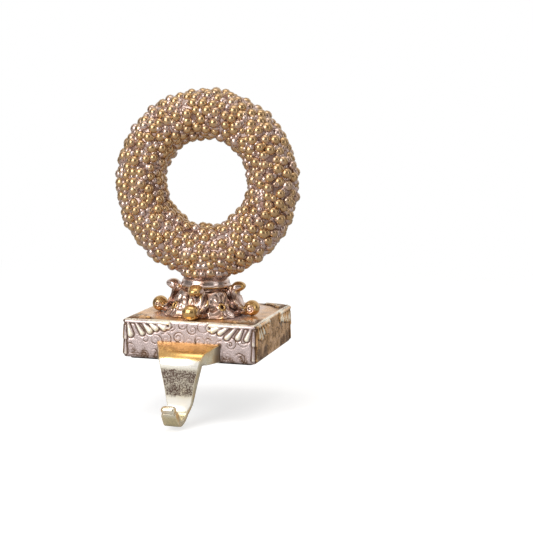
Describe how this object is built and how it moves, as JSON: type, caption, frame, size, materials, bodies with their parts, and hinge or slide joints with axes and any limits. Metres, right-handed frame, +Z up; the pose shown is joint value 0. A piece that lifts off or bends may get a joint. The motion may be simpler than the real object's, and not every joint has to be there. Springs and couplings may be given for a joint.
{
  "type": "mantel stocking holder",
  "caption": "Weighted square plinth with a scrolled pedestal and a berry wreath on top, and a cast hook in front that hangs a stocking below the mantel edge.",
  "frame": {"origin": "centre of the felt pad's underside, which rests on the mantel", "axes": "+Z up, front with the hook towards -Y, +X to the right seen from the front"},
  "size_m": [0.141, 0.1499, 0.2392],
  "materials": {
    "plinth_finish": "cast resin with lilac champagne metallic paint, gold high points and dark brown in the recesses",
    "felt": "thin dark felt",
    "pedestal_finish": "cast resin with rose brown metallic paint and rubbed gold scrolls",
    "wreath_finish": "cast resin berries with gold tops over mauve and dark brown recesses",
    "hook_finish": "cast metal in antique gold with dark patina",
    "screw_steel": "zinc plated steel"
  },
  "bodies": {
    "root": {"plinth": "plinth_finish", "felt_pad": "felt", "scroll_pedestal": "pedestal_finish", "wreath": "wreath_finish", "hook": "hook_finish", "hook_screws": "screw_steel"}
  },
  "joints": []
}
